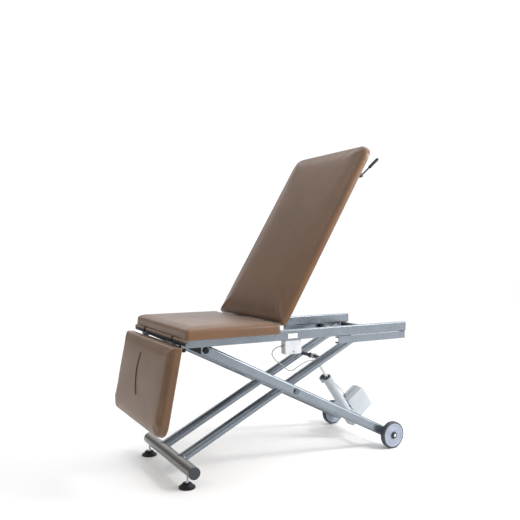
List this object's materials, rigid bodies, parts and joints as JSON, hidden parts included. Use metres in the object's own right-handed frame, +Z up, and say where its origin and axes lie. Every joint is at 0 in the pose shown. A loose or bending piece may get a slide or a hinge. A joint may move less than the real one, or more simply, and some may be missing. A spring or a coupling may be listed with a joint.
{
  "type": "examination couch",
  "caption": "Height-adjustable examination couch with a scissor frame, rear wheels, tilting back section and drop-down leg section.",
  "frame": {"origin": "centre of the footprint of the box around the couch, on the floor", "axes": "+Z up, +X from the foot pads towards the wheels and the head end, +Y across the couch towards its far side"},
  "size_m": [1.5302, 0.72, 1.6986],
  "materials": {
    "frame_grey": "satin",
    "bar_grey": "satin",
    "vinyl_brown": "semi-gloss vinyl",
    "board_wood": "matte",
    "black_plastic": "matte",
    "dark_steel": "satin",
    "bright_steel": "polished",
    "zinc_steel": "satin",
    "wheel_grey": "satin",
    "tyre_grey": "matte",
    "actuator_grey": "satin",
    "box_white": "satin",
    "label_white": "satin",
    "cable_grey": "satin"
  },
  "bodies": {
    "feet": {"foot_pad_near": "black_plastic", "foot_pad_far": "black_plastic"},
    "inner_arms": {"foot_bar": "bar_grey", "foot_bar_cap_near": "dark_steel", "foot_bar_cap_far": "dark_steel", "levelling_spindle_near": "bright_steel", "levelling_spindle_far": "bright_steel", "inner_tube_near": "frame_grey", "inner_tube_far": "frame_grey", "pivot_shaft": "zinc_steel", "cross_bar": "dark_steel", "roller_axle": "zinc_steel"},
    "outer_arms": {"outer_arm_near": "frame_grey", "outer_arm_far": "frame_grey", "arm_end_cap_near": "black_plastic", "arm_end_cap_far": "black_plastic", "actuator_mount_bar": "frame_grey", "wheel_axle": "zinc_steel"},
    "wheel_set_near": {"wheel_near": "wheel_grey", "tyre_near": "tyre_grey"},
    "wheel_set_far": {"wheel_far": "wheel_grey", "tyre_far": "tyre_grey"},
    "roller_near": {"guide_roller_near": "black_plastic"},
    "roller_far": {"guide_roller_far": "black_plastic"},
    "top_frame": {"rail_near": "frame_grey", "rail_far": "frame_grey", "rail_cap_near": "dark_steel", "rail_cap_far": "dark_steel", "guide_channel_near": "frame_grey", "guide_channel_far": "frame_grey", "front_cross_member": "dark_steel", "front_cross_tube": "frame_grey", "hinge_cross_tube": "frame_grey", "rear_cross_tube": "dark_steel", "pivot_bracket_near": "frame_grey", "pivot_bracket_far": "frame_grey", "leg_hinge_shaft": "dark_steel", "leg_stop_bar": "black_plastic", "seat_board": "board_wood", "seat_cushion": "vinyl_brown", "control_box": "box_white", "label_plate": "label_white", "control_cable": "cable_grey"},
    "leg": {"leg_board": "board_wood", "leg_cushion": "vinyl_brown", "leg_hinge_arm_near": "frame_grey", "leg_hinge_arm_far": "frame_grey"},
    "back": {"back_board": "board_wood", "back_cushion": "vinyl_brown", "back_hinge_arm_near": "frame_grey", "back_hinge_arm_far": "frame_grey", "gas_spring_bracket": "frame_grey", "lever_bracket": "dark_steel", "release_cable": "black_plastic"},
    "lever": {"release_lever": "dark_steel"},
    "actuator_body": {"actuator_tube": "actuator_grey", "motor_housing": "actuator_grey"},
    "actuator_piston": {"actuator_rod": "zinc_steel"},
    "gas_body": {"gas_cylinder": "black_plastic"},
    "gas_piston": {"gas_rod": "bright_steel"}
  },
  "joints": [
    {"name": "height", "type": "hinge", "parent": "feet", "child": "inner_arms", "pos_m": [-0.5844, 0, 0.022], "axis": [0, -1, 0], "range_deg": [-9, 10], "deforming": ["control_cable"]},
    {"name": "scissor", "type": "hinge", "parent": "inner_arms", "child": "outer_arms", "pos_m": [0.0406, 0, 0.384], "axis": [0, -1, 0], "range_deg": [-20, 18]},
    {"name": "frame_level", "type": "hinge", "parent": "outer_arms", "child": "top_frame", "pos_m": [-0.47932, 0, 0.64107], "axis": [0, -1, 0], "range_deg": [-9, 10]},
    {"name": "actuator_tilt", "type": "hinge", "parent": "outer_arms", "child": "actuator_body", "pos_m": [0.57961, 0, 0.11749], "axis": [0, -1, 0], "range_deg": [-1.5, 1.35]},
    {"name": "actuator_stroke", "type": "hinge", "parent": "inner_arms", "child": "actuator_piston", "pos_m": [0.30504, 0, 0.51475], "axis": [0, -1, 0], "range_deg": [-21.5, 19.35]},
    {"name": "back_tilt", "type": "hinge", "parent": "top_frame", "child": "back", "pos_m": [-0.1064, 0, 0.715], "axis": [0, -1, 0], "range_deg": [-59.2, 4]},
    {"name": "gas_tilt", "type": "hinge", "parent": "top_frame", "child": "gas_body", "pos_m": [-0.4194, 0, 0.65], "axis": [0, -1, 0], "range_deg": [-1.18, 0.08]},
    {"name": "gas_stroke", "type": "hinge", "parent": "back", "child": "gas_piston", "pos_m": [-0.0714, 0, 0.65438], "axis": [0, -1, 0], "range_deg": [-3.92, 58.02]},
    {"name": "leg_tilt", "type": "hinge", "parent": "top_frame", "child": "leg", "pos_m": [-0.6124, 0, 0.687], "axis": [0, 1, 0], "range_deg": [0, 79.25]},
    {"name": "lever_squeeze", "type": "hinge", "parent": "back", "child": "lever", "pos_m": [0.39634, -0.3398, 1.52711], "axis": [0, -1, 0], "range_deg": [0, 12], "stiffness_Nm_per_rad": 2},
    {"name": "wheel_turn_near", "type": "hinge", "parent": "outer_arms", "child": "wheel_set_near", "pos_m": [0.66558, 0, 0.07498], "axis": [0, -1, 0], "continuous": true},
    {"name": "wheel_turn_far", "type": "hinge", "parent": "outer_arms", "child": "wheel_set_far", "pos_m": [0.66558, 0, 0.07498], "axis": [0, -1, 0], "continuous": true},
    {"name": "roller_turn_near", "type": "hinge", "parent": "inner_arms", "child": "roller_near", "pos_m": [0.56052, 0, 0.64107], "axis": [0, -1, 0], "continuous": true},
    {"name": "roller_turn_far", "type": "hinge", "parent": "inner_arms", "child": "roller_far", "pos_m": [0.56052, 0, 0.64107], "axis": [0, -1, 0], "continuous": true}
  ],
  "couplings": [
    {"joint": "scissor", "follows": "height", "ratio": -2},
    {"joint": "frame_level", "follows": "height", "ratio": 1},
    {"joint": "actuator_tilt", "follows": "height", "ratio": -0.15},
    {"joint": "actuator_stroke", "follows": "height", "ratio": -2.15},
    {"joint": "gas_tilt", "follows": "back_tilt", "ratio": 0.02},
    {"joint": "gas_stroke", "follows": "back_tilt", "ratio": -0.98}
  ]
}
